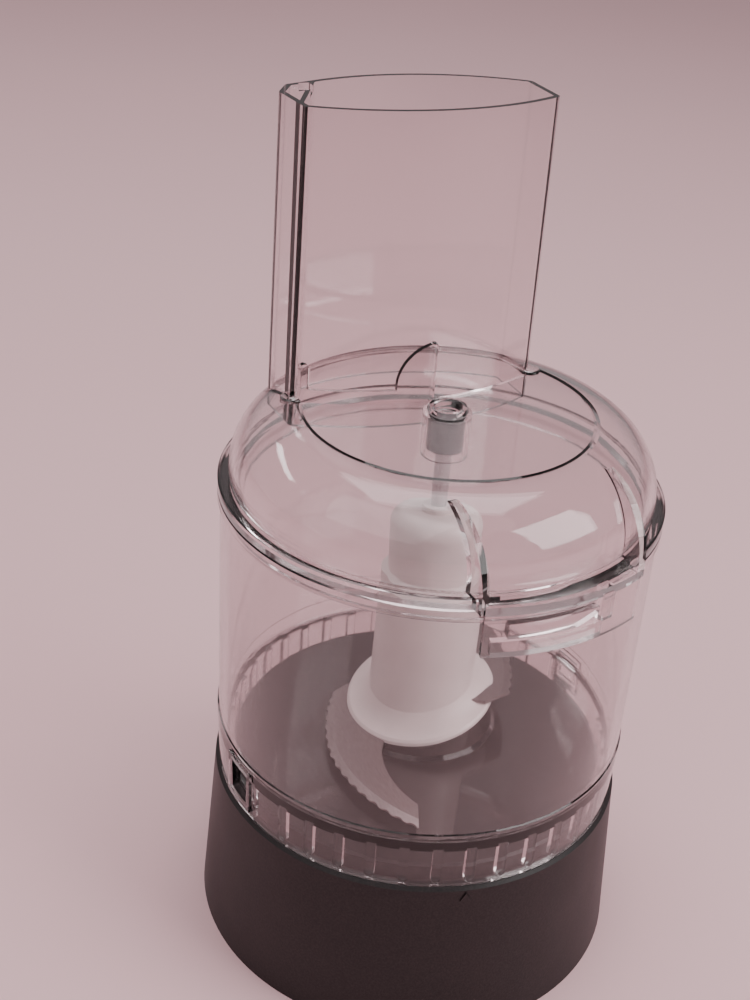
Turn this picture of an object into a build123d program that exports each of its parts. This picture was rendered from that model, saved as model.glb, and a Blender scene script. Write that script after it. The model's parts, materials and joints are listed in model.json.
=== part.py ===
from build123d import *
import math
import os

os.makedirs("parts", exist_ok=True)

# Small food processor bowl on its reduction-gear drive collar.
# Millimetres, +Z up. The origin is the centre of the motor seat's mouth, on the bottom rim.
# The feed tube is at +Y and the cover's latch is at -Y.

# Drive collar
COLLAR_R0 = 69.8          # outside radius at the bottom rim
COLLAR_R1 = 66.3          # outside radius below the ledge
COLLAR_WALL = 2.6
LEDGE_Z = 56.0            # ledge that the bowl's skirt stands over
NECK_R = 60.6
DECK_Z = 62.0             # top of the dark deck
DECK_UNDER_Z = 58.0
BARREL_R = 30.0           # bore that holds the ring gear
BARREL_WALL = 3.0
SCREW_COUNT = 6
SCREW_CIRCLE_R = 59.5
SCREW_R = 1.5
LUG_ANGLES = (-169.5, 10.5)
LUG_HALF = 3.0            # half width of a collar lug, degrees

# Bottom plate
SEAT_R = 52.0             # locating bore over the motor unit
SEAT_DEPTH = 14.0
PLATE_TOP_Z = 17.0
WELL_R = 17.0             # well around the drive coupling
WELL_TOP_Z = 31.0

# Planetary gears
MODULE = 1.0
PRESSURE_ANGLE = math.radians(25)
ADDENDUM = 0.8
DEDENDUM = 1.05
TOOTH_THINNING = 0.12     # taken off each tooth at the pitch circle
SUN_TEETH = 12
PLANET_TEETH = 18
RING_TEETH = 48
PLANET_ANGLES = (0, 120, 240)
PLANET_CENTRE_R = MODULE * (SUN_TEETH + PLANET_TEETH) / 2
GEAR_Z0 = 33.0
GEAR_Z1 = 43.2
CARRIER_Z0 = 43.6
CARRIER_Z1 = 47.2

# Shafts
SPINDLE_R = 5.0
SPINDLE_HEX_AF = 8.6
SPINDLE_HEX_Z = 112.0
SPINDLE_TOP_Z = 138.0
INPUT_R = 3.0
RUNNING_GAP = 0.05

# Bowl
SKIRT_Z = 56.3
SKIRT_R0 = 65.2
BAND_TOP_Z = 76.7
BAND_R = 66.0
SKIRT_INNER_R = 63.0
FLOOR_Z = 71.5
FLOOR_THICK = 2.2
FLOOR_FILLET = 3.0
BOWL_INNER_R0 = 62.9
BOWL_INNER_R1 = 63.4
BOWL_OUTER_R1 = 66.2
BOWL_TOP_Z = 155.9
RIM_R = 67.0
TUBE_INNER_R = 6.6
TUBE_OUTER_R = 9.0
TUBE_TOP_Z = 110.0
PEDESTAL_R = 24.0
RIB_PITCH = 9.0
RIB_START = -152.0
RIB_W = 3.0
BOWL_TWIST = 25.0         # unlocking turn, degrees

# Cover
FLANGE_Z0 = 156.2
FLANGE_Z1 = 159.6
PLATE_Z = 181.8
DOME_CENTRE_R = 44.0
DOME_R = 19.8
DOME_CENTRE_Z = PLATE_Z - DOME_R
COVER_WALL = 2.2
PLATE_R = 42.85
BOSS_R = 7.4
BOSS_BORE_R = 5.9
BOSS_Z = 166.0
LATCH_ANGLE = -83.5       # middle of the latch
PANEL_HALF = 20.5
PANEL_R = 71.4
PANEL_WALL = 1.8
PANEL_Z = 143.8
HOOK_TOP_Z = 148.0
COVER_LUG_A0 = -98.0      # lug on the bowl that the latch's hook passes under
COVER_LUG_A1 = -75.0
FIN_Y = 25.0
FIN_T = 2.2

# Feed tube
CHUTE_Z0 = 172.0
CHUTE_Z1 = 267.0
CHUTE_WALL = 1.8
CHUTE_TAPER = 0.35        # degrees
CHUTE_FRONT = ((-42.6, 17.4), (-3.8, 8.5), (36.0, 19.3))
CHUTE_BACK = ((35.8, 38.0), (2.0, 50.3), (-32.0, 45.0))
CHUTE_CORNER = ((-40.0, 42.0), (-44.6, 34.0))
CHUTE_GAP = 0.1           # cut-out in the cover around the tube

# Blade unit
HUB_BOTTOM_Z = 73.6
HUB_TOP_Z = 149.5
HUB_NECK_R = 5.0          # small boss round the pin
HUB_NECK_Z = 151.6
HUB_CAVITY_R = 11.2
HUB_CAVITY_Z = 116.0
INSERT_R = 8.2
INSERT_TOP_Z = 141.0
HUB_FLANGE_R = 23.7
HUB_FLANGE_Z = 80.6
HUB_FLANGE_TILT = 12.8
HUB_FLANGE_HIGH = 19.0    # azimuth of the lip's high side
BLADE_AZIMUTH = -26.0     # turn of the blade unit about the spindle
BLADE_T = 1.2
LOWER_BLADE_Z = 75.0
UPPER_BLADE_Z = 85.0
PIN_R = 2.4
PIN_TOP_Z = 176.0
TIP_R = 5.5
TIP_Z0 = 168.0
TIP_Z1 = 179.0


def spin(*lines):
    """Solid of revolution about Z from connected lines given as (radius, height)."""
    return revolve(Plane.XZ * make_face(Curve() + list(lines)), Axis.Z)


def spin_polygon(*points):
    return spin(Polyline(*points, close=True))


def ring(r0, r1, z0, z1):
    """Plain tube between two radii and two heights."""
    return spin_polygon((r0, z0), (r1, z0), (r1, z1), (r0, z1))


def rod(radius, z0, z1):
    return Pos(0, 0, z0) * extrude(Circle(radius), z1 - z0)


def sector(r0, r1, z0, z1, a0, a1):
    """Block between two radii, two heights and two azimuths in degrees."""
    section = Plane.XZ * make_face(Polyline((r0, z0), (r1, z0), (r1, z1), (r0, z1), close=True))
    return Rot(0, 0, a0) * revolve(section, Axis.Z, revolution_arc=a1 - a0)


def polar(radius, angle):
    a = math.radians(angle)
    return (radius * math.cos(a), radius * math.sin(a))


def at_angles(shape, angles):
    return [Rot(0, 0, a) * shape for a in angles]


def collar_radius(z):
    """Outside radius of the conical collar at a height."""
    return COLLAR_R0 + (COLLAR_R1 - COLLAR_R0) * z / LEDGE_Z


def screw_angles():
    return [30 + i * 360 / SCREW_COUNT for i in range(SCREW_COUNT)]


# ---------------------------------------------------------------- gears

def involute_flank(base_r, r0, r1, half_base):
    """Points of one flank from radius r0 to r1. half_base is its angle at the base circle."""
    points = []
    for i in range(6):
        r = r0 + (r1 - r0) * i / 5
        t = math.sqrt(max((r / base_r) ** 2 - 1, 0))
        angle = half_base - (t - math.atan(t))
        points.append((r * math.cos(angle), r * math.sin(angle)))
    return points


def gear_face(teeth, tip_r, root_r, thinning):
    """Outline of an involute gear with one tooth centred on +X."""
    pitch_r = MODULE * teeth / 2
    base_r = pitch_r * math.cos(PRESSURE_ANGLE)
    involute = math.tan(PRESSURE_ANGLE) - PRESSURE_ANGLE
    half_pitch_tooth = math.pi / (2 * teeth) - thinning / (2 * pitch_r)
    half_base = half_pitch_tooth + involute
    flank = involute_flank(base_r, max(base_r, root_r), tip_r, half_base)
    if root_r < base_r:
        flank.insert(0, (root_r * math.cos(half_base), root_r * math.sin(half_base)))
    mirrored = [(x, -y) for x, y in reversed(flank)]
    tooth = make_face(Polyline((0, 0), *flank, *mirrored, close=True))
    face = Circle(root_r + 0.01)
    for i in range(teeth):
        face += Rot(0, 0, i * 360 / teeth) * tooth
    return face


def external_gear(teeth, bore_r):
    pitch_r = MODULE * teeth / 2
    face = gear_face(teeth, pitch_r + ADDENDUM, pitch_r - DEDENDUM, TOOTH_THINNING)
    face -= Circle(bore_r)
    return Pos(0, 0, GEAR_Z0) * extrude(face, GEAR_Z1 - GEAR_Z0)


def ring_gear():
    """Internal gear with four keys that sit in the barrel's slots."""
    pitch_r = MODULE * RING_TEETH / 2
    space = gear_face(RING_TEETH, pitch_r + DEDENDUM, pitch_r - ADDENDUM, -TOOTH_THINNING)
    blank = Circle(BARREL_R - 0.1)
    for i in range(4):
        blank += Rot(0, 0, 45 + i * 90) * Pos(BARREL_R, 0) * Rectangle(2.4, 3.8)
    face = blank - Rot(0, 0, 180 / RING_TEETH) * space
    return Pos(0, 0, GEAR_Z0) * extrude(face, 44.0 - GEAR_Z0)


def sun_gear():
    return external_gear(SUN_TEETH, INPUT_R)


def planet_gear(angle):
    """Planet with a tooth space facing the sun."""
    gear = Rot(0, 0, 180 / PLANET_TEETH) * external_gear(PLANET_TEETH, 4.0)
    return Rot(0, 0, angle) * Pos(PLANET_CENTRE_R, 0, 0) * gear


def planet_bush(angle):
    bush = ring(2.5 + RUNNING_GAP, 4.0, GEAR_Z0, GEAR_Z1)
    return Rot(0, 0, angle) * Pos(PLANET_CENTRE_R, 0, 0) * bush


def planet_pins():
    """Three headed pins that carry the planets."""
    pin = rod(3.9, 31.4, 32.6) + rod(2.5, 32.6, CARRIER_Z1)
    return at_angles(Pos(PLANET_CENTRE_R, 0, 0) * pin, PLANET_ANGLES)


def planet_carrier():
    """Three-armed plate with a hexagon hole for the spindle."""
    face = Circle(11)
    for angle in PLANET_ANGLES:
        face += Rot(0, 0, angle) * Pos(PLANET_CENTRE_R, 0) * Circle(5.4)
        face += Rot(0, 0, angle) * Pos(PLANET_CENTRE_R / 2, 0) * Rectangle(PLANET_CENTRE_R, 8.5)
    for angle in PLANET_ANGLES:
        face -= Rot(0, 0, angle) * Pos(PLANET_CENTRE_R, 0) * Circle(2.5)
    face -= RegularPolygon(SPINDLE_HEX_AF / 2, 6, major_radius=False)
    return Pos(0, 0, CARRIER_Z0) * extrude(face, CARRIER_Z1 - CARRIER_Z0)


# ---------------------------------------------------------------- collar

def screw_bosses():
    boss = Pos(SCREW_CIRCLE_R, 0, 0) * rod(4.0, PLATE_TOP_Z, LEDGE_Z - 2)
    return at_angles(boss, screw_angles())


def deck_webs():
    """Radial webs under the deck, between the barrel and the neck."""
    web = Pos((BARREL_R + NECK_R) / 2, 0, 54.5) * Box(NECK_R - BARREL_R - 3, 2.0, 8.0)
    return at_angles(web, screw_angles())


def alignment_mark():
    """Small raised triangle on the front of the collar, below the ledge."""
    triangle = Rot(0, 0, 90) * RegularPolygon(2.0, 3)
    plane = Plane(origin=(collar_radius(52.6) - 0.3, 0, 52.6), x_dir=(0, 1, 0), z_dir=(1, 0, 0))
    return Rot(0, 0, -99) * extrude(plane * triangle, 0.7)


def collar_housing():
    """Conical shell with a deck, a gear barrel, screw bosses and two bowl lugs."""
    shell = spin_polygon(
        (COLLAR_R0, 0), (COLLAR_R1, LEDGE_Z - 0.8), (COLLAR_R1 - 1, LEDGE_Z), (NECK_R, LEDGE_Z),
        (NECK_R, DECK_Z - 0.8), (NECK_R - 0.8, DECK_Z), (9.0, DECK_Z), (9.0, 59.5), (7.0, 59.5),
        (7.0, 58.5), (9.5, 58.5), (9.5, 55.5), (11.0, 55.5), (11.0, 48.0), (14.0, 48.0),
        (14.0, DECK_UNDER_Z), (28.0, DECK_UNDER_Z), (28.0, 44.0), (BARREL_R, 44.0), (BARREL_R, 18.0),
        (BARREL_R + BARREL_WALL, 18.0), (BARREL_R + BARREL_WALL, DECK_UNDER_Z),
        (58.0, DECK_UNDER_Z), (58.0, LEDGE_Z - COLLAR_WALL),
        (collar_radius(LEDGE_Z) - COLLAR_WALL, LEDGE_Z - COLLAR_WALL), (COLLAR_R0 - COLLAR_WALL, 0))
    for piece in screw_bosses() + deck_webs():
        shell += piece
    for angle in LUG_ANGLES:
        shell += sector(NECK_R - 0.5, 62.6, 59.3, 61.4, angle - LUG_HALF, angle + LUG_HALF)
    shell += alignment_mark()
    for angle in screw_angles():
        shell -= Pos(*polar(SCREW_CIRCLE_R, angle), 0) * rod(SCREW_R, PLATE_TOP_Z, 31)
    for i in range(4):
        slot = Pos(BARREL_R, 0, 31) * Box(2.6, 4.0, 26)
        shell -= Rot(0, 0, 45 + i * 90) * slot
    return shell


def bottom_plate():
    """Cover under the gears, with the motor seat ring and the coupling well."""
    plate = spin_polygon(
        (SEAT_R, 0), (SEAT_R + 3, 0), (SEAT_R + 3, SEAT_DEPTH), (65.6, SEAT_DEPTH),
        (65.6, PLATE_TOP_Z), (WELL_R + 3, PLATE_TOP_Z), (WELL_R + 3, WELL_TOP_Z), (8.0, WELL_TOP_Z),
        (8.0, 27.5), (WELL_R, 27.5), (WELL_R, SEAT_DEPTH), (SEAT_R, SEAT_DEPTH))
    for angle in screw_angles():
        plate -= Pos(*polar(SCREW_CIRCLE_R, angle), 0) * rod(SCREW_R + 0.2, 10, 20)
    rib = Pos(24.6, 0, PLATE_TOP_Z + 2) * Box(9.4, 1.6, 4.0)
    for piece in at_angles(rib, screw_angles()):
        plate += piece
    return plate


def bottom_plate_screws():
    """Six cross-recessed pan-head screws."""
    screw = rod(SCREW_R, SEAT_DEPTH, 30) + rod(3.0, SEAT_DEPTH - 2, SEAT_DEPTH)
    screw = fillet(screw.edges().filter_by(GeomType.CIRCLE).sort_by(Axis.Z)[0], 0.8)
    for turn in (0, 90):
        screw -= Rot(0, 0, turn) * Pos(0, 0, SEAT_DEPTH - 1.6) * Box(3.0, 0.7, 1.0)
    return at_angles(Pos(SCREW_CIRCLE_R, 0, 0) * screw, screw_angles())


def retaining_ring(r_in, r_out, z0, z1, inward):
    """Flat split ring. The gap is at +X, with two eyelets beside it."""
    clip = ring(r_in, r_out, z0, z1)
    clip -= Pos((r_in + r_out) / 2, 0, (z0 + z1) / 2) * Box(r_out - r_in + 3, 3.0, z1 - z0 + 1)
    eye_r = r_in - 0.8 if inward else r_out + 0.2
    for side in (-1, 1):
        eye = Pos(eye_r, side * 3.0, 0) * (rod(1.5, z0, z1) - rod(0.6, z0, z1))
        clip += eye
    return clip


def spindle_clip():
    return ring(SPINDLE_R, 6.6, 56.0, 57.0) - Pos(6, 0, 56.5) * Box(4, 4, 2)


def input_clip():
    return ring(INPUT_R, 5.5, 31.5, 32.4) - Pos(4.5, 0, 32) * Box(4, 3, 2)


def spindle_seal():
    """Lip seal pressed into the deck around the spindle."""
    return spin_polygon((SPINDLE_R + 0.08, 59.5), (9.0, 59.5), (9.0, 62.2), (7.6, 62.8),
                        (SPINDLE_R + 0.08, 62.8), (SPINDLE_R + 0.08, 61.6), (6.6, 60.9),
                        (6.6, 60.3), (SPINDLE_R + 0.08, 60.1))


# ---------------------------------------------------------------- drive

def drive_coupling():
    """Six-lobed drive member with a hexagon socket that opens downwards."""
    body = rod(13.0, 15.0, 26.5)
    body = chamfer(body.edges().filter_by(GeomType.CIRCLE), 1.0)
    for i in range(6):
        body -= Rot(0, 0, i * 60) * Pos(14.6, 0, 0) * rod(4.0, 14, 27)
    body -= Pos(0, 0, 14) * extrude(RegularPolygon(7.0, 6, major_radius=False), 9)
    return body - rod(INPUT_R, 22, 27)


def drive_spindle():
    """Shaft with a hexagon at the carrier and a hexagon at the blade unit."""
    lower = Pos(0, 0, CARRIER_Z0) * extrude(
        RegularPolygon(SPINDLE_HEX_AF / 2, 6, major_radius=False), CARRIER_Z1 - CARRIER_Z0)
    upper = Pos(0, 0, SPINDLE_HEX_Z) * extrude(
        RegularPolygon(SPINDLE_HEX_AF / 2, 6, major_radius=False), SPINDLE_TOP_Z - SPINDLE_HEX_Z)
    upper = chamfer(upper.edges().group_by(Axis.Z)[-1], 0.8)
    return lower + rod(SPINDLE_R, CARRIER_Z1, SPINDLE_HEX_Z) + upper


# ---------------------------------------------------------------- bowl

def in_lug_track(angle):
    """True where the skirt's inside is kept free for the collar lugs."""
    return -21.5 < (angle + 90) % 180 - 90 < 20


def skirt_ribs():
    """Round-ended ribs inside the skirt, below the floor."""
    top = FLOOR_Z - FLOOR_THICK + 0.5
    bar = Pos(0, (58.0 + top) / 2) * Rectangle(RIB_W, top - 58.0) + Pos(0, 58.0) * Circle(RIB_W / 2)
    plane = Plane(origin=(61.2, 0, 0), x_dir=(0, 1, 0), z_dir=(1, 0, 0))
    rib = extrude(plane * bar, 2.4)
    angles = [RIB_START + RIB_PITCH * i for i in range(int(360 / RIB_PITCH))]
    return at_angles(rib, [a for a in angles if not in_lug_track(a)])


def lock_track(angle):
    """Ledge under a collar lug, with stops at the locked and unlocked ends."""
    top = FLOOR_Z - FLOOR_THICK + 0.5
    locked = angle + LUG_HALF
    entry = angle - LUG_HALF - BOWL_TWIST
    return [
        sector(61.2, 63.3, SKIRT_Z, 58.9, entry + 2 * LUG_HALF + 3, locked + 0.6),
        sector(61.2, 63.3, SKIRT_Z, top, locked + 0.6, locked + 2.6),
        sector(61.2, 63.3, SKIRT_Z, top, entry - 2.6, entry - 0.6)]


def lock_window(angle):
    """Window through the skirt at a collar lug, a pocket above it, and a raised frame."""
    frame = sector(65.0, 66.6, 59.6, 74.4, angle - 6.0, angle + 6.0)
    opening = sector(62.0, 68.0, 61.2, 68.9, angle - 4.6, angle + 4.6)
    pocket = sector(64.6, 68.0, 68.8, 72.8, angle - 4.6, angle + 4.6)
    return frame, opening + pocket


def cover_lug():
    """Bayonet lug for the cover's latch, with a ramp at the end where the hook enters."""
    base = HOOK_TOP_Z + 0.4
    lug = sector(65.5, 69.2, base, 153.0, COVER_LUG_A0, COVER_LUG_A1)
    ramp = Plane(origin=(*polar(67.5, COVER_LUG_A1), base), x_dir=polar(1, COVER_LUG_A1 + 90) + (0,),
                 z_dir=polar(1, COVER_LUG_A1) + (0,))
    cut = extrude(ramp * make_face(Polyline((-10, -1), (1, -1), (1, 2.6), (0, 2.6), close=True)),
                  6, both=True)
    return lug - cut


def bowl_body():
    """Clear bowl: wall, floor, skirt, pedestal and the tube that stands around the spindle."""
    under = FLOOR_Z - FLOOR_THICK
    f = FLOOR_FILLET
    k = f * (1 - math.sqrt(0.5))
    return spin(
        Polyline((SKIRT_INNER_R, SKIRT_Z), (SKIRT_R0, SKIRT_Z), (BAND_R, BAND_TOP_Z),
                 (BAND_R - 0.4, BAND_TOP_Z + 0.4), (BOWL_OUTER_R1, 151.5), (RIM_R, 153.0),
                 (RIM_R, BOWL_TOP_Z - 0.5), (RIM_R - 0.5, BOWL_TOP_Z), (BOWL_INNER_R1, BOWL_TOP_Z),
                 (BOWL_INNER_R0, FLOOR_Z + f)),
        ThreePointArc((BOWL_INNER_R0, FLOOR_Z + f), (BOWL_INNER_R0 - k, FLOOR_Z + k),
                      (BOWL_INNER_R0 - f, FLOOR_Z)),
        Polyline((BOWL_INNER_R0 - f, FLOOR_Z), (PEDESTAL_R + 1.2, FLOOR_Z), (PEDESTAL_R, FLOOR_Z + 1.2),
                 (TUBE_OUTER_R + 2, FLOOR_Z + 1.2), (TUBE_OUTER_R, FLOOR_Z + 3.2),
                 (TUBE_OUTER_R - 0.4, TUBE_TOP_Z - 1.2)),
        ThreePointArc((TUBE_OUTER_R - 0.4, TUBE_TOP_Z - 1.2), (TUBE_INNER_R + 1.0, TUBE_TOP_Z),
                      (TUBE_INNER_R, TUBE_TOP_Z - 1.2)),
        Polyline((TUBE_INNER_R, TUBE_TOP_Z - 1.2), (TUBE_INNER_R, under), (SKIRT_INNER_R, under),
                 (SKIRT_INNER_R, SKIRT_Z)))


def bowl():
    body = bowl_body()
    for rib in skirt_ribs():
        body += rib
    for angle in LUG_ANGLES:
        for piece in lock_track(angle):
            body += piece
        frame, opening = lock_window(angle)
        body = body + frame - opening
    return body + cover_lug()


# ---------------------------------------------------------------- cover

def dome_point(radius, degrees):
    a = math.radians(degrees)
    return (DOME_CENTRE_R + radius * math.cos(a), DOME_CENTRE_Z + radius * math.sin(a))


def cover_body():
    """Flange, locating skirt, dome, top plate with a groove round it, and the centre socket."""
    inner = DOME_R - COVER_WALL
    under = PLATE_Z - COVER_WALL
    low = math.degrees(math.asin((FLANGE_Z1 - DOME_CENTRE_Z) / DOME_R))
    return spin(
        Polyline((60.9, 151.0), (62.7, 151.0), (62.7, FLANGE_Z0), (RIM_R, FLANGE_Z0),
                 (RIM_R, FLANGE_Z1 - 0.5), (RIM_R - 0.5, FLANGE_Z1), dome_point(DOME_R, low)),
        ThreePointArc(dome_point(DOME_R, low), dome_point(DOME_R, 40), dome_point(DOME_R, 88)),
        Polyline(dome_point(DOME_R, 88), (PLATE_R + 0.8, PLATE_Z - 0.35), (PLATE_R, PLATE_Z),
                 (6.2, PLATE_Z), (5.6, PLATE_Z + 1.2), (4.3, PLATE_Z + 1.2), (3.9, PLATE_Z + 0.8),
                 (3.9, under), (BOSS_BORE_R, under), (BOSS_BORE_R - 0.1, BOSS_Z), (BOSS_R - 0.3, BOSS_Z),
                 (BOSS_R, under), dome_point(inner, 90)),
        ThreePointArc(dome_point(inner, 90), dome_point(inner, 35), dome_point(inner, -10)),
        Polyline(dome_point(inner, -10), (60.9, 157.0), (60.9, 151.0)))


def latch():
    """Panel outside the bowl wall, its bridge to the flange, the hook ledge and the stop."""
    a0 = LATCH_ANGLE - PANEL_HALF
    a1 = LATCH_ANGLE + PANEL_HALF
    panel = sector(PANEL_R - PANEL_WALL, PANEL_R, PANEL_Z, FLANGE_Z1, a0, a1)
    panel += sector(66.0, PANEL_R, FLANGE_Z0, FLANGE_Z1, a0, a1)
    panel += sector(67.4, PANEL_R, PANEL_Z, HOOK_TOP_Z, COVER_LUG_A0 - 3.8, COVER_LUG_A1 + 1.0)
    stop_start = COVER_LUG_A1 + 0.5
    return panel + sector(67.4, PANEL_R, HOOK_TOP_Z, FLANGE_Z0, stop_start, stop_start + 3.5)


def dome_core():
    """Space under the dome, up to the middle of its wall."""
    mid = DOME_R - COVER_WALL / 2
    return spin(
        ThreePointArc(dome_point(mid, 0), dome_point(mid, 45), dome_point(mid, 90)),
        Polyline(dome_point(mid, 90), (0, PLATE_Z - COVER_WALL / 2), (0, 150),
                 (DOME_CENTRE_R + mid, 150), dome_point(mid, 0)))


def latch_fins():
    """Two parallel gusset fins that run from the panel's ends up over the dome's shoulder."""
    panel_x = math.sqrt(PANEL_R ** 2 - (FIN_Y + FIN_T / 2) ** 2)
    outline = make_face(Curve() + [
        ThreePointArc((panel_x, FLANGE_Z1 - 0.5), (61.5, 173.5), (46.7, 181.0)),
        Polyline((46.7, 181.0), (44.0, 179.8), (44.0, 157.0), (panel_x, 157.0),
                 (panel_x, FLANGE_Z1 - 0.5))])
    fin = extrude(Plane.XZ * outline, FIN_T / 2, both=True)
    core = dome_core()
    return [Rot(0, 0, LATCH_ANGLE) * (Pos(0, y, 0) * fin - core) for y in (-FIN_Y, FIN_Y)]


def chute_outline():
    """Outside outline of the feed tube: bowed front and back, with a chamfered back-left corner."""
    outline = make_face(Curve() + [
        ThreePointArc(*CHUTE_FRONT),
        Line(CHUTE_FRONT[2], CHUTE_BACK[0]),
        ThreePointArc(*CHUTE_BACK),
        Polyline(CHUTE_BACK[2], *CHUTE_CORNER, CHUTE_FRONT[0])])
    return fillet(outline.vertices(), 2.6)


def chute_solid(inset):
    """Tapered solid of the feed tube's outline, taken in by a wall thickness."""
    outline = chute_outline()
    if inset:
        outline = offset(outline, -inset)
    return Pos(0, 0, CHUTE_Z0) * extrude(outline, CHUTE_Z1 - CHUTE_Z0, taper=CHUTE_TAPER)


def feed_tube():
    """Open tube with a slanted partition that splits off a narrow side channel."""
    outer = chute_solid(0)
    inner = chute_solid(CHUTE_WALL)
    wall = Pos(-36.8, 31.5, (CHUTE_Z0 + CHUTE_Z1) / 2) * Rot(0, 0, 64) * Box(29, 1.4, 118)
    tube = outer - inner + (inner & wall)
    tube -= Pos(-34.0, 38.5, CHUTE_Z1) * Box(3.4, 8.0, 4.0)
    return tube


def corner_welds():
    """Small lumps on the cover at the tube's two front corners."""
    lumps = []
    for corner in (CHUTE_FRONT[0], CHUTE_FRONT[2]):
        lump = Pos(*corner, 0) * rod(3.4, PLATE_Z - 1.6, PLATE_Z + 1.0)
        lumps.append(fillet(lump.edges().group_by(Axis.Z)[-1], 0.7))
    return lumps


def guide_fin():
    """Upstand in front of the tube's left half that ends in a tall round-shouldered fin."""
    front = ThreePointArc(*CHUTE_FRONT)
    wall = Pos(front.arc_center) * ring(front.radius, front.radius + 1.6, PLATE_Z - 0.5, 200)
    thick = Pos(front.arc_center) * ring(front.radius, front.radius + 2.4, PLATE_Z - 0.5, 200)
    sweep = make_face(Curve() + [
        Polyline((-41.0, 181.0), (-2.0, 181.0), (-2.0, 200.0)),
        ThreePointArc((-2.0, 200.0), (-10.1, 195.8), (-13.5, 185.8)),
        Polyline((-13.5, 185.8), (-38.6, 185.8), (-38.6, 192.6)),
        ThreePointArc((-38.6, 192.6), (-39.8, 193.8), (-41.0, 192.6)),
        Line((-41.0, 192.6), (-41.0, 181.0))])
    edge = Pos(-2.7, 0, 190.5) * Box(1.4, 60, 19)
    return (wall & extrude(Plane.XZ * sweep, -30)) + (thick & edge)


def lid_cover():
    """Clear cover with the latch, its fins, the guide fin and the cut-out for the feed tube."""
    cover = cover_body() + latch()
    for fin in latch_fins():
        cover += fin
    cover += guide_fin()
    cover -= chute_solid(-CHUTE_GAP)
    tube = chute_solid(0)
    for lump in corner_welds():
        cover += lump - tube
    return cover


# ---------------------------------------------------------------- blade unit

def blade_outline():
    """Plan of one blade: convex cutting edge, blunt tip, concave back and a root inside the hub."""
    return make_face(Curve() + [
        ThreePointArc((-28.8, 2.2), (-29.2, -15.0), (-25.5, -30.8)),
        ThreePointArc((-25.5, -30.8), (-14.0, -47.4), (3.5, -59.2)),
        Line((3.5, -59.2), (2.6, -49.8)),
        ThreePointArc((2.6, -49.8), (-6.6, -38.4), (-10.1, -26.0)),
        Line((-10.1, -26.0), (-9.0, -10.0)),
        Line((-9.0, -10.0), (-9.0, 9.0)),
        Line((-9.0, 9.0), (-21.0, 9.0)),
        Line((-21.0, 9.0), (-28.8, 2.2))])


def serrations():
    """Round scallops along the cutting edge, on the two arcs of the blade's plan."""
    first = ThreePointArc((-28.8, 2.2), (-29.2, -15.0), (-25.5, -30.8))
    second = ThreePointArc((-25.5, -30.8), (-14.0, -47.4), (3.5, -59.2))
    cutters = []
    for arc, count in ((first, 7), (second, 9)):
        for i in range(count):
            point = arc @ ((i + 0.5) / count)
            tangent = arc % ((i + 0.5) / count)
            outward = Vector(tangent.Y, -tangent.X) * 1.9
            cutters.append(Pos(point.X + outward.X, point.Y + outward.Y) * Circle(2.5))
    return cutters


def blade(z, turn):
    """Steel blade with a ground bevel and a scalloped edge."""
    plate = extrude(blade_outline(), BLADE_T)
    top = plate.edges().filter_by(GeomType.CIRCLE).group_by(Axis.Z)[-1]
    edge = top.sort_by(Axis.X)[:2]
    plate = chamfer(edge, 0.8, 2.6)
    for cutter in serrations():
        plate -= Pos(0, 0, -1) * extrude(cutter, 4)
    plate -= rod(13.2, -1, 4)
    return Rot(0, 0, BLADE_AZIMUTH + turn) * Pos(0, 0, z - BLADE_T / 2) * plate


def hub_flange():
    """Sloping lip at the foot of the hub, round in plan, with a concave flare above it."""
    rim = HUB_FLANGE_R
    level = spin(
        Polyline((0, -1.3), (rim - 0.7, -1.3), (rim, -0.6), (rim, 0.5), (rim - 0.7, 1.2)),
        ThreePointArc((rim - 0.7, 1.2), (18.3, 4.2), (15.9, 11.0)),
        Polyline((15.9, 11.0), (0, 11.0), (0, -1.3)))
    slope = math.tan(math.radians(HUB_FLANGE_TILT))
    x, y = polar(slope, HUB_FLANGE_HIGH)
    skew = Matrix([[1, 0, 0, 0], [0, 1, 0, 0], [x, y, 1, HUB_FLANGE_Z], [0, 0, 0, 1]])
    return level.transform_geometry(skew)


def blade_hub():
    """White hub that drops over the bowl's tube. The blades are moulded into its foot."""
    outside = spin_polygon((0, HUB_BOTTOM_Z), (17.4, HUB_BOTTOM_Z), (16.8, 86.0), (16.0, 125.0),
                           (14.2, 126.2), (14.0, HUB_TOP_Z), (0, HUB_TOP_Z))
    outside = fillet(outside.edges().group_by(Axis.Z)[-1], 5.5)
    hub = outside + hub_flange() + rod(HUB_NECK_R, HUB_TOP_Z - 1, HUB_NECK_Z)
    hub -= rod(HUB_CAVITY_R, 70, HUB_CAVITY_Z)
    hub -= rod(INSERT_R, HUB_CAVITY_Z, INSERT_TOP_Z)
    hub -= rod(PIN_R, INSERT_TOP_Z, HUB_NECK_Z + 1)
    return hub - blade(LOWER_BLADE_Z, 0) - blade(UPPER_BLADE_Z, 180)


def hub_insert():
    """Drive insert with a hexagon bore that fits the spindle."""
    face = Circle(INSERT_R) - RegularPolygon(SPINDLE_HEX_AF / 2 + 0.1, 6, major_radius=False)
    return Pos(0, 0, HUB_CAVITY_Z) * extrude(face, INSERT_TOP_Z - HUB_CAVITY_Z)


def hub_tip():
    """Grey cap on the pin, turning inside the cover's socket."""
    cap = fillet(rod(TIP_R, TIP_Z0, TIP_Z1).edges().filter_by(GeomType.CIRCLE), 0.8)
    return cap - rod(PIN_R, TIP_Z0 - 1, PIN_TOP_Z)


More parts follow.
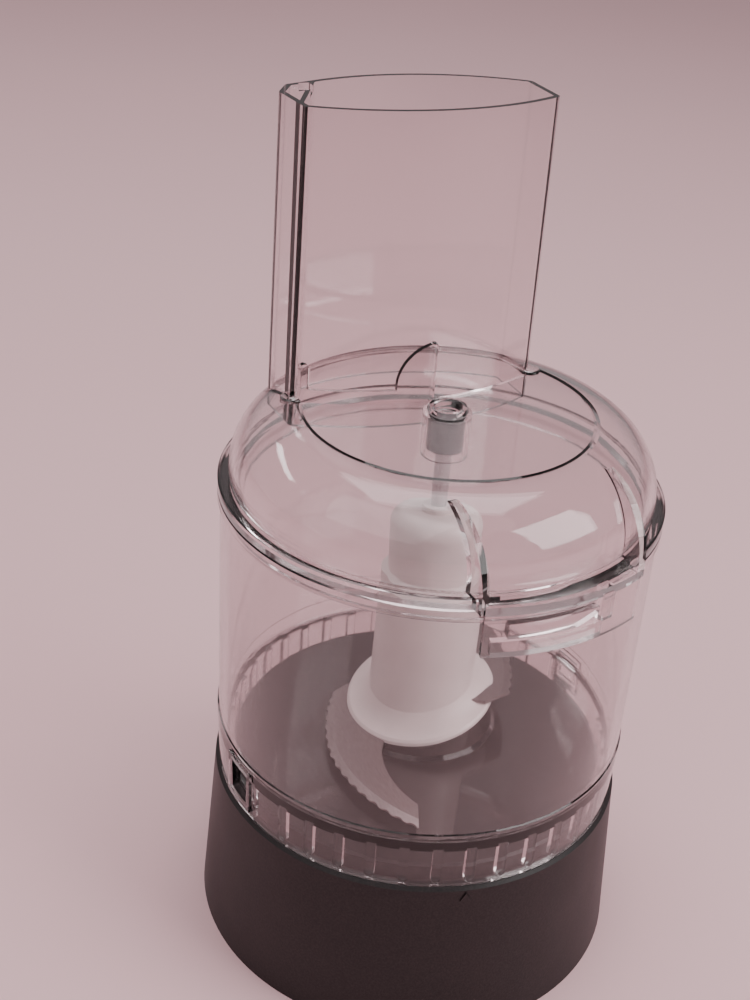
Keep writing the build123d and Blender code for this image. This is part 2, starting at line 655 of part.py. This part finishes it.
NODES = {
    "collar_housing": collar_housing(),
    "bottom_plate": bottom_plate(),
    "bottom_plate_screws": bottom_plate_screws(),
    "gearbox_gasket": ring(BARREL_R, BARREL_R + BARREL_WALL, PLATE_TOP_Z, 18.0),
    "ring_gear": ring_gear(),
    "ring_gear_clip": retaining_ring(27.4, BARREL_R, 31.4, 32.6, True),
    "input_bearing": ring(INPUT_R + RUNNING_GAP, 8.0, 27.5, WELL_TOP_Z),
    "output_bearing": ring(SPINDLE_R + RUNNING_GAP, 11.0, 48.2, 55.5),
    "spindle_seal": spindle_seal(),
    "bowl": bowl(),
    "lid_cover": lid_cover(),
    "feed_tube": feed_tube(),
    "drive_spindle": drive_spindle(),
    "spindle_clip": spindle_clip(),
    "planet_carrier": planet_carrier(),
    "planet_pins": planet_pins(),
    "blade_hub": blade_hub(),
    "hub_insert": hub_insert(),
    "hub_pin": rod(PIN_R, INSERT_TOP_Z, PIN_TOP_Z),
    "hub_tip": hub_tip(),
    "lower_blade": blade(LOWER_BLADE_Z, 0),
    "upper_blade": blade(UPPER_BLADE_Z, 180),
    "drive_coupling": drive_coupling(),
    "input_shaft": rod(INPUT_R, 23.0, GEAR_Z1),
    "input_clip": input_clip(),
    "sun_gear": sun_gear(),
}
for number, planet_angle in enumerate(PLANET_ANGLES, 1):
    NODES[f"planet_gear_{number}"] = planet_gear(planet_angle)
    NODES[f"planet_bush_{number}"] = planet_bush(planet_angle)

for name, shape in NODES.items():
    solid = Compound(children=list(shape)) if isinstance(shape, list) else shape
    export_step(solid, f"parts/{name}.step")
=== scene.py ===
import json
import math

import bpy
from mathutils import Matrix, Vector


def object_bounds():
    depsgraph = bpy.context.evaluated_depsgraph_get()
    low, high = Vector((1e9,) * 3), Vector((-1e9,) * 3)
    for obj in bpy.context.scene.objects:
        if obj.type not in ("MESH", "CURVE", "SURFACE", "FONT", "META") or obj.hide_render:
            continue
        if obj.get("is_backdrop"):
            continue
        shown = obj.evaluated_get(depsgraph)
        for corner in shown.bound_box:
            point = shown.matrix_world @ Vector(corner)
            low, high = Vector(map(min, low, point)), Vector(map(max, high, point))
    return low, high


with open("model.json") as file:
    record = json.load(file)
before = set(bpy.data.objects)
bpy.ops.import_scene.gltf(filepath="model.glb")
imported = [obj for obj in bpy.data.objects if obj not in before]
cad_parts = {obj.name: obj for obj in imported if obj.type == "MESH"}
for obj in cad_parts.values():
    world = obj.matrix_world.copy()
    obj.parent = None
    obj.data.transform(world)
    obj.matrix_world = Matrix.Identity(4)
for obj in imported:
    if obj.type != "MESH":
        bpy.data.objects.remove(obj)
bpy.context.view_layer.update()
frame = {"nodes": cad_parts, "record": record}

# Camera, found from level circles of the object. Metres and degrees, in the CAD frame.
CAMERA_PLACE = (-0.16865, -0.34579, 0.36549)
CAMERA_YAW = 23.113
CAMERA_PITCH = 29.33
CAMERA_ROLL = 4.214
CAMERA_LENS = 52.2
SENSOR = 36.0
NEAR_CLIP = 0.01

MM = 0.001

# Tints of the clear plastic: cover and tube, bowl, and what a lamp's light takes on through it.
COVER_TINT = (0.925, 0.885, 0.89)
# The bowl's tint is darker than the cover's partly as painted shade: it darkens the floor seen through
# the bowl, where the object's shadow falls.
BOWL_TINT_AND_PAINTED_SHADE = (0.87, 0.825, 0.83)
SHADOW_TINT = (0.90, 0.87, 0.875)
PLASTIC_IOR = 1.5

# Stage, in metres. A lamp is name, place, (width, height), watts, colour.
FLOOR_SIZE = 20
FLOOR_LOW = (0.88, 0.575, 0.605)
FLOOR_HIGH = (0.92, 0.605, 0.635)
WORLD_COLOUR = (0.80, 0.70, 0.72)
WORLD_STRENGTH = 0.40
LAMP_TARGET = (0, 0, 0.1)
LAMPS = (
    ("window", (0.75, -0.75, 0.75), (0.75, 0.8), 10, (1.0, 0.96, 0.96)),
    ("fill", (-0.9, -0.5, 1.3), (1.4, 1.2), 5, (1.0, 0.95, 0.95)),
    ("top", (0.15, 0.3, 1.7), (1.2, 1.0), 12, (1.0, 0.95, 0.96)),
    ("strip", (-0.75, 0.95, 1.0), (0.8, 0.1), 2, (1.0, 0.97, 0.97)),
)


# ---------------------------------------------------------------- materials

def new_material(name):
    material = bpy.data.materials.new(name)
    material.use_nodes = True
    tree = material.node_tree
    shader = tree.nodes["Principled BSDF"]
    return material, tree, shader


def object_coordinates(tree, scale=(1, 1, 1)):
    """Object coordinates in metres, stretched by a scale."""
    coords = tree.nodes.new("ShaderNodeTexCoord")
    mapping = tree.nodes.new("ShaderNodeMapping")
    mapping.inputs["Scale"].default_value = scale
    tree.links.new(coords.outputs["Object"], mapping.inputs["Vector"])
    return mapping.outputs["Vector"]


def noise(tree, vector, size, detail=3.0, rough=0.5):
    """Noise whose features are about size metres across."""
    node = tree.nodes.new("ShaderNodeTexNoise")
    node.inputs["Scale"].default_value = 1 / size
    node.inputs["Detail"].default_value = detail
    node.inputs["Roughness"].default_value = rough
    tree.links.new(vector, node.inputs["Vector"])
    return node.outputs["Fac"]


def ramp(tree, factor, low, high, start=0.0, end=1.0):
    """Colour ramp from low to high."""
    node = tree.nodes.new("ShaderNodeValToRGB")
    node.color_ramp.elements[0].position = start
    node.color_ramp.elements[0].color = (*low, 1)
    node.color_ramp.elements[1].position = end
    node.color_ramp.elements[1].color = (*high, 1)
    tree.links.new(factor, node.inputs["Fac"])
    return node.outputs["Color"]


def remap(tree, factor, low, high):
    """Factor 0 to 1 becomes low to high."""
    node = tree.nodes.new("ShaderNodeMapRange")
    node.inputs["To Min"].default_value = low
    node.inputs["To Max"].default_value = high
    tree.links.new(factor, node.inputs["Value"])
    return node.outputs["Result"]


def bump(tree, shader, height, depth, strength=1.0):
    """Surface relief of that depth in metres."""
    node = tree.nodes.new("ShaderNodeBump")
    node.inputs["Distance"].default_value = depth
    node.inputs["Strength"].default_value = strength
    tree.links.new(height, node.inputs["Height"])
    tree.links.new(node.outputs["Normal"], shader.inputs["Normal"])


def clear_plastic(name, tint):
    """Polished clear plastic with a faint tint and fine wear. Lamps shine through it."""
    material, tree, shader = new_material(name)
    vector = object_coordinates(tree)
    shader.inputs["Base Color"].default_value = (*tint, 1)
    shader.inputs["Transmission Weight"].default_value = 1.0
    shader.inputs["IOR"].default_value = PLASTIC_IOR
    wear = noise(tree, vector, 9 * MM, 4.0, 0.6)
    tree.links.new(remap(tree, wear, 0.0, 0.07), shader.inputs["Roughness"])
    bump(tree, shader, noise(tree, vector, 14 * MM, 1.0), 0.05 * MM, 0.35)
    path = tree.nodes.new("ShaderNodeLightPath")
    clear = tree.nodes.new("ShaderNodeBsdfTransparent")
    clear.inputs["Color"].default_value = (*SHADOW_TINT, 1)
    mix = tree.nodes.new("ShaderNodeMixShader")
    tree.links.new(path.outputs["Is Shadow Ray"], mix.inputs["Fac"])
    tree.links.new(shader.outputs["BSDF"], mix.inputs[1])
    tree.links.new(clear.outputs["BSDF"], mix.inputs[2])
    tree.links.new(mix.outputs["Shader"], tree.nodes["Material Output"].inputs["Surface"])
    return material


def textured_plastic(name, low, high, grain, rough, depth):
    """Moulded plastic with a fine grained surface."""
    material, tree, shader = new_material(name)
    vector = object_coordinates(tree)
    grains = noise(tree, vector, grain, 2.0, 0.6)
    tree.links.new(ramp(tree, grains, low, high, 0.35, 0.7), shader.inputs["Base Color"])
    patches = noise(tree, vector, 25 * MM, 3.0)
    tree.links.new(remap(tree, patches, rough - 0.06, rough + 0.08), shader.inputs["Roughness"])
    bump(tree, shader, grains, depth, 0.8)
    shader.inputs["Specular IOR Level"].default_value = 0.36
    return material


def satin_plastic(name, low, high, rough):
    """Smooth satin plastic with slight cloudiness and handling marks."""
    material, tree, shader = new_material(name)
    vector = object_coordinates(tree)
    cloud = noise(tree, vector, 12 * MM, 4.0)
    tree.links.new(ramp(tree, cloud, low, high, 0.3, 0.7), shader.inputs["Base Color"])
    marks = noise(tree, vector, 3 * MM, 5.0, 0.7)
    tree.links.new(remap(tree, marks, rough - 0.1, rough + 0.12), shader.inputs["Roughness"])
    bump(tree, shader, noise(tree, vector, 0.5 * MM, 2.0), 0.01 * MM, 0.5)
    return material


def metal(name, low, high, rough, stretch=(1, 1, 1), grain=0.4 * MM):
    """Ground or turned metal. The grain is long where the stretch is small."""
    material, tree, shader = new_material(name)
    vector = object_coordinates(tree, stretch)
    lines = noise(tree, vector, grain, 3.0, 0.65)
    shader.inputs["Metallic"].default_value = 1.0
    tree.links.new(ramp(tree, lines, low, high, 0.3, 0.7), shader.inputs["Base Color"])
    tree.links.new(remap(tree, lines, rough - 0.08, rough + 0.12), shader.inputs["Roughness"])
    bump(tree, shader, lines, 0.006 * MM, 0.6)
    return material


def floor_material():
    """Pale matt floor with faint, wide clouding."""
    material, tree, shader = new_material("pale_floor")
    vector = object_coordinates(tree)
    cloud = noise(tree, vector, 0.4, 2.0)
    tree.links.new(ramp(tree, cloud, FLOOR_LOW, FLOOR_HIGH), shader.inputs["Base Color"])
    shader.inputs["Roughness"].default_value = 0.7
    return material


MATERIALS = {
    "clear_plastic": clear_plastic("clear_plastic", COVER_TINT),
    "charcoal_plastic": textured_plastic(
        "charcoal_plastic", (0.007, 0.0055, 0.006), (0.018, 0.0135, 0.014), 0.7 * MM, 0.46, 0.05 * MM),
    "black_plastic": textured_plastic(
        "black_plastic", (0.02, 0.02, 0.021), (0.03, 0.03, 0.032), 0.9 * MM, 0.6, 0.03 * MM),
    "coupling_plastic": textured_plastic(
        "coupling_plastic", (0.05, 0.05, 0.055), (0.08, 0.08, 0.085), 0.6 * MM, 0.5, 0.02 * MM),
    "black_rubber": satin_plastic("black_rubber", (0.015, 0.015, 0.015), (0.025, 0.025, 0.025), 0.7),
    "gear_nylon": satin_plastic("gear_nylon", (0.70, 0.67, 0.58), (0.78, 0.75, 0.67), 0.45),
    "white_plastic": satin_plastic("white_plastic", (0.63, 0.545, 0.54), (0.70, 0.61, 0.60), 0.36),
    "grey_plastic": satin_plastic("grey_plastic", (0.10, 0.095, 0.10), (0.14, 0.13, 0.135), 0.4),
    "zinc_steel": metal("zinc_steel", (0.52, 0.53, 0.54), (0.68, 0.69, 0.70), 0.35),
    "spring_steel": metal("spring_steel", (0.16, 0.16, 0.17), (0.25, 0.25, 0.26), 0.4),
    "bronze": metal("bronze", (0.42, 0.29, 0.15), (0.58, 0.42, 0.22), 0.45),
    "shaft_steel": metal("shaft_steel", (0.42, 0.42, 0.43), (0.58, 0.58, 0.59), 0.28, (1, 1, 0.1)),
    "carrier_steel": metal("carrier_steel", (0.36, 0.36, 0.37), (0.5, 0.5, 0.51), 0.4),
    "blade_steel": metal("blade_steel", (0.23, 0.19, 0.19), (0.33, 0.28, 0.28), 0.38, (1, 0.12, 1)),
}


def dress_nodes():
    """Gives each CAD node its slot's material. The bowl gets a darker tint, partly the plastic's own
    and partly painted shade on the floor seen through it.
    """
    # Painted shade: the bowl's darker tint darkens the floor seen through it, where the object's shadow
    # falls.
    bowl_plastic_painted_shade = clear_plastic("bowl_plastic_painted_shade", BOWL_TINT_AND_PAINTED_SHADE)
    slots = {part["node"]: part["material_slot"] for part in frame["record"]["subparts"]}
    for name, node in frame["nodes"].items():
        node.data.materials.clear()
        node.data.materials.append(bowl_plastic_painted_shade if name == "bowl" else MATERIALS[slots[name]])


# ---------------------------------------------------------------- stage

def floor():
    bpy.ops.mesh.primitive_plane_add(size=FLOOR_SIZE)
    plane = bpy.context.object
    plane.name = "floor"
    plane.location = (0, 0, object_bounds()[0][2])
    plane.data.materials.append(floor_material())
    plane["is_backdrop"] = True


def area_light(name, place, size, power, colour):
    """Rectangular lamp that faces the object."""
    data = bpy.data.lights.new(name, "AREA")
    data.shape = "RECTANGLE"
    data.size, data.size_y = size
    data.energy = power
    data.color = colour
    light = bpy.data.objects.new(name, data)
    light.location = place
    light.rotation_euler = (Vector(LAMP_TARGET) - Vector(place)).to_track_quat("-Z", "Y").to_euler()
    bpy.context.scene.collection.objects.link(light)


def studio_light():
    """Soft even world light and four lamps."""
    world = bpy.data.worlds.new("studio")
    bpy.context.scene.world = world
    world.use_nodes = True
    background = world.node_tree.nodes["Background"]
    background.inputs["Color"].default_value = (*WORLD_COLOUR, 1)
    background.inputs["Strength"].default_value = WORLD_STRENGTH
    for lamp in LAMPS:
        area_light(*lamp)


def camera():
    """Camera from its place and its yaw, pitch and roll."""
    yaw, pitch, roll = (math.radians(a) for a in (CAMERA_YAW, CAMERA_PITCH, CAMERA_ROLL))
    ahead = Vector((math.sin(yaw) * math.cos(pitch), math.cos(yaw) * math.cos(pitch), -math.sin(pitch)))
    level = Vector((math.cos(yaw), -math.sin(yaw), 0))
    upright = level.cross(ahead)
    right = math.cos(roll) * level + math.sin(roll) * upright
    up = math.cos(roll) * upright - math.sin(roll) * level
    data = bpy.data.cameras.new("camera")
    data.sensor_width = SENSOR
    data.lens = CAMERA_LENS
    data.clip_start = NEAR_CLIP
    view = bpy.data.objects.new("camera", data)
    turn = Matrix((right, up, -ahead)).transposed()
    view.matrix_world = Matrix.Translation(CAMERA_PLACE) @ turn.to_4x4()
    bpy.context.scene.collection.objects.link(view)
    bpy.context.scene.camera = view


dress_nodes()
floor()
studio_light()
camera()
